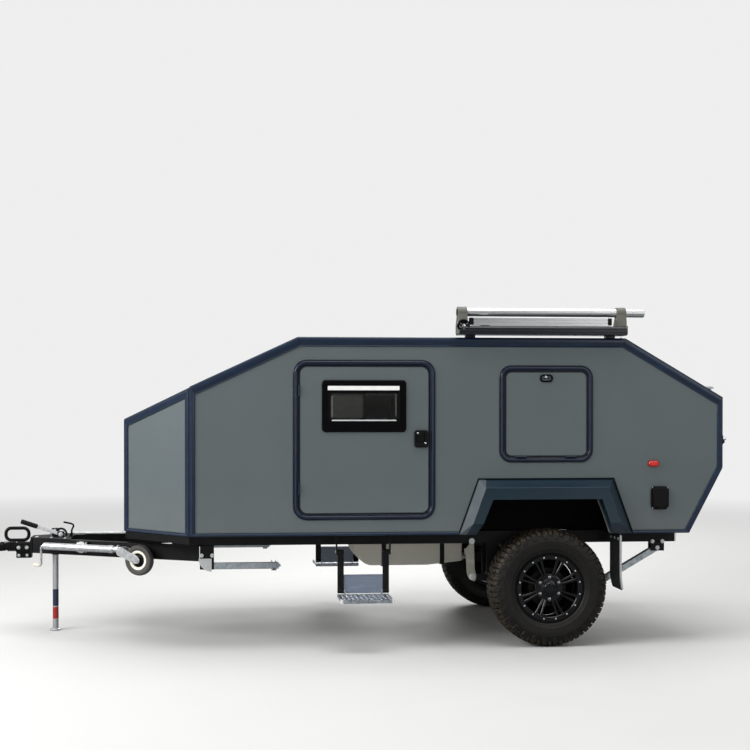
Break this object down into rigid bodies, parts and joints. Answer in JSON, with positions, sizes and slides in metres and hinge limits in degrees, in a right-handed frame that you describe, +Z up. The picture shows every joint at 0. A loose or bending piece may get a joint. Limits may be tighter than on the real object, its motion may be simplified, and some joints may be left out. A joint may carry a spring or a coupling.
{
  "type": "teardrop trailer",
  "caption": "Off-road teardrop caravan with a tapered nose, side doors and hatches, a lifting tail hatch, folding steps, swing-down steadies and a stowed jockey wheel.",
  "frame": {"origin": "on the ground, at the middle of the trailer's overall length and width", "axes": "+X back towards the tail hatch, +Y to the trailer's right, +Z up"},
  "size_m": [4.78, 2.26, 2.1649],
  "materials": {
    "cabin_grey": "satin",
    "navy_moulding": "satin",
    "navy_flare": "satin",
    "chassis_black": "satin",
    "black_plastic": "matte",
    "floor_board": "matte",
    "galley_plywood": "satin",
    "window_acrylic": "gloss",
    "galvanised_steel": "satin",
    "tread_plate": "satin",
    "spring_black": "gloss",
    "rim_black": "satin",
    "tyre_rubber": "matte",
    "jockey_rubber": "matte",
    "flap_rubber": "matte",
    "tank_plastic": "satin",
    "lamp_red": "gloss",
    "awning_dark": "satin",
    "awning_silver": "satin"
  },
  "bodies": {
    "trailer": {"side_wall_left": "cabin_grey", "side_wall_right": "cabin_grey", "roof_panel": "cabin_grey", "front_slope_panel": "cabin_grey", "nose_front_panel": "cabin_grey", "nose_sides": "cabin_grey", "tail_lower_panel": "cabin_grey", "edge_mouldings": "navy_moulding", "opening_frames": "navy_moulding", "wheel_flare_left": "navy_flare", "wheel_flare_right": "navy_flare", "chassis_rails": "chassis_black", "cross_members": "chassis_black", "drawbar": "chassis_black", "nose_skirt": "chassis_black", "steady_brackets": "chassis_black", "suspension_hangers": "chassis_black", "trailing_arms": "chassis_black", "coupler": "chassis_black", "step_brackets": "chassis_black", "power_inlet": "black_plastic", "wheel_boxes": "black_plastic", "handbrake_lever": "black_plastic", "floor_panel": "floor_board", "galley_bulkhead": "galley_plywood", "drawbar_clamps": "galvanised_steel", "coil_springs": "spring_black", "mud_flaps": "flap_rubber", "water_tank": "tank_plastic", "lamps": "lamp_red", "awning_base": "awning_dark", "awning_bars": "awning_silver"},
    "wheel_left": {"rim_left": "rim_black", "tyre_left": "tyre_rubber"},
    "wheel_right": {"rim_right": "rim_black", "tyre_right": "tyre_rubber"},
    "door_left": {"door_left": "cabin_grey", "door_fittings_left": "black_plastic", "door_pane_left": "window_acrylic"},
    "door_right": {"door_right": "cabin_grey", "door_fittings_right": "black_plastic", "door_pane_right": "window_acrylic"},
    "side_hatch_left": {"side_hatch_left": "cabin_grey", "hatch_latch_left": "black_plastic"},
    "side_hatch_right": {"side_hatch_right": "cabin_grey", "hatch_latch_right": "black_plastic"},
    "tail_hatch": {"tail_hatch": "cabin_grey", "tail_hatch_handle": "black_plastic"},
    "step_arms_left": {"step_arms_left": "chassis_black"},
    "step_arms_right": {"step_arms_right": "chassis_black"},
    "step_tread_left": {"step_tread_left": "tread_plate"},
    "step_tread_right": {"step_tread_right": "tread_plate"},
    "steady_front_left": {"steady_leg_front_left": "galvanised_steel"},
    "steady_front_right": {"steady_leg_front_right": "galvanised_steel"},
    "steady_rear_left": {"steady_leg_rear_left": "galvanised_steel"},
    "steady_rear_right": {"steady_leg_rear_right": "galvanised_steel"},
    "jockey_tube": {"jockey_tube": "galvanised_steel"},
    "jockey_leg": {"jockey_fork": "galvanised_steel"},
    "jockey_wheel": {"jockey_wheel": "jockey_rubber"},
    "prop_leg": {"prop_leg": "galvanised_steel"}
  },
  "joints": [
    {"name": "wheel_left_spin", "type": "hinge", "parent": "trailer", "child": "wheel_left", "pos_m": [1.24, -0.8675, 0.3745], "axis": [0, 1, 0], "continuous": true},
    {"name": "door_left_hinge", "type": "hinge", "parent": "trailer", "child": "door_left", "pos_m": [-0.361, -0.963, 1.323], "axis": [0, 0, -1], "range_deg": [0, 105]},
    {"name": "side_hatch_left_hinge", "type": "hinge", "parent": "trailer", "child": "side_hatch_left", "pos_m": [1.218, -0.963, 1.215], "axis": [1, 0, 0], "range_deg": [0, 90]},
    {"name": "step_left_fold", "type": "hinge", "parent": "trailer", "child": "step_arms_left", "pos_m": [0.0535, -0.87, 0.612], "axis": [1, 0, 0], "range_deg": [0, 90]},
    {"name": "step_left_level", "type": "hinge", "parent": "step_arms_left", "child": "step_tread_left", "pos_m": [0.0535, -0.87, 0.36], "axis": [-1, 0, 0], "range_deg": [0, 90]},
    {"name": "steady_front_left_swing", "type": "hinge", "parent": "trailer", "child": "steady_front_left", "pos_m": [-0.936, -0.675, 0.507], "axis": [0, 1, 0], "range_deg": [0, 90]},
    {"name": "steady_rear_left_swing", "type": "hinge", "parent": "trailer", "child": "steady_rear_left", "pos_m": [2.033, -0.675, 0.6], "axis": [0, -1, 0], "range_deg": [-30, 60]},
    {"name": "wheel_right_spin", "type": "hinge", "parent": "trailer", "child": "wheel_right", "pos_m": [1.24, 0.8675, 0.3745], "axis": [0, 1, 0], "continuous": true},
    {"name": "door_right_hinge", "type": "hinge", "parent": "trailer", "child": "door_right", "pos_m": [-0.361, 0.963, 1.323], "axis": [0, 0, 1], "range_deg": [0, 105]},
    {"name": "side_hatch_right_hinge", "type": "hinge", "parent": "trailer", "child": "side_hatch_right", "pos_m": [1.218, 0.963, 1.215], "axis": [-1, 0, 0], "range_deg": [0, 90]},
    {"name": "step_right_fold", "type": "hinge", "parent": "trailer", "child": "step_arms_right", "pos_m": [0.0535, 0.87, 0.612], "axis": [-1, 0, 0], "range_deg": [0, 90]},
    {"name": "step_right_level", "type": "hinge", "parent": "step_arms_right", "child": "step_tread_right", "pos_m": [0.0535, 0.87, 0.36], "axis": [1, 0, 0], "range_deg": [0, 90]},
    {"name": "steady_front_right_swing", "type": "hinge", "parent": "trailer", "child": "steady_front_right", "pos_m": [-0.936, 0.675, 0.507], "axis": [0, 1, 0], "range_deg": [0, 90]},
    {"name": "steady_rear_right_swing", "type": "hinge", "parent": "trailer", "child": "steady_rear_right", "pos_m": [2.033, 0.675, 0.6], "axis": [0, -1, 0], "range_deg": [-30, 60]},
    {"name": "tail_hatch_hinge", "type": "hinge", "parent": "trailer", "child": "tail_hatch", "pos_m": [1.738, 0, 1.973], "axis": [0, -1, 0], "range_deg": [0, 80]},
    {"name": "jockey_swing", "type": "hinge", "parent": "trailer", "child": "jockey_tube", "pos_m": [-1.78098, -0.33135, 0.598], "axis": [0.4794, 0.8776, 0], "range_deg": [0, 90]},
    {"name": "jockey_extend", "type": "slide", "parent": "jockey_tube", "child": "jockey_leg", "axis": [0.8776, -0.4794, 0], "range_m": [0, 0.15]},
    {"name": "jockey_wheel_spin", "type": "hinge", "parent": "jockey_leg", "child": "jockey_wheel", "pos_m": [-1.3729, -0.55427, 0.536], "axis": [0.4794, 0.8776, 0], "continuous": true},
    {"name": "prop_slide", "type": "slide", "parent": "trailer", "child": "prop_leg", "axis": [0, 0, 1], "range_m": [0, 0.3]}
  ],
  "couplings": [
    {"joint": "step_left_level", "follows": "step_left_fold", "ratio": 1},
    {"joint": "step_right_level", "follows": "step_right_fold", "ratio": 1}
  ]
}
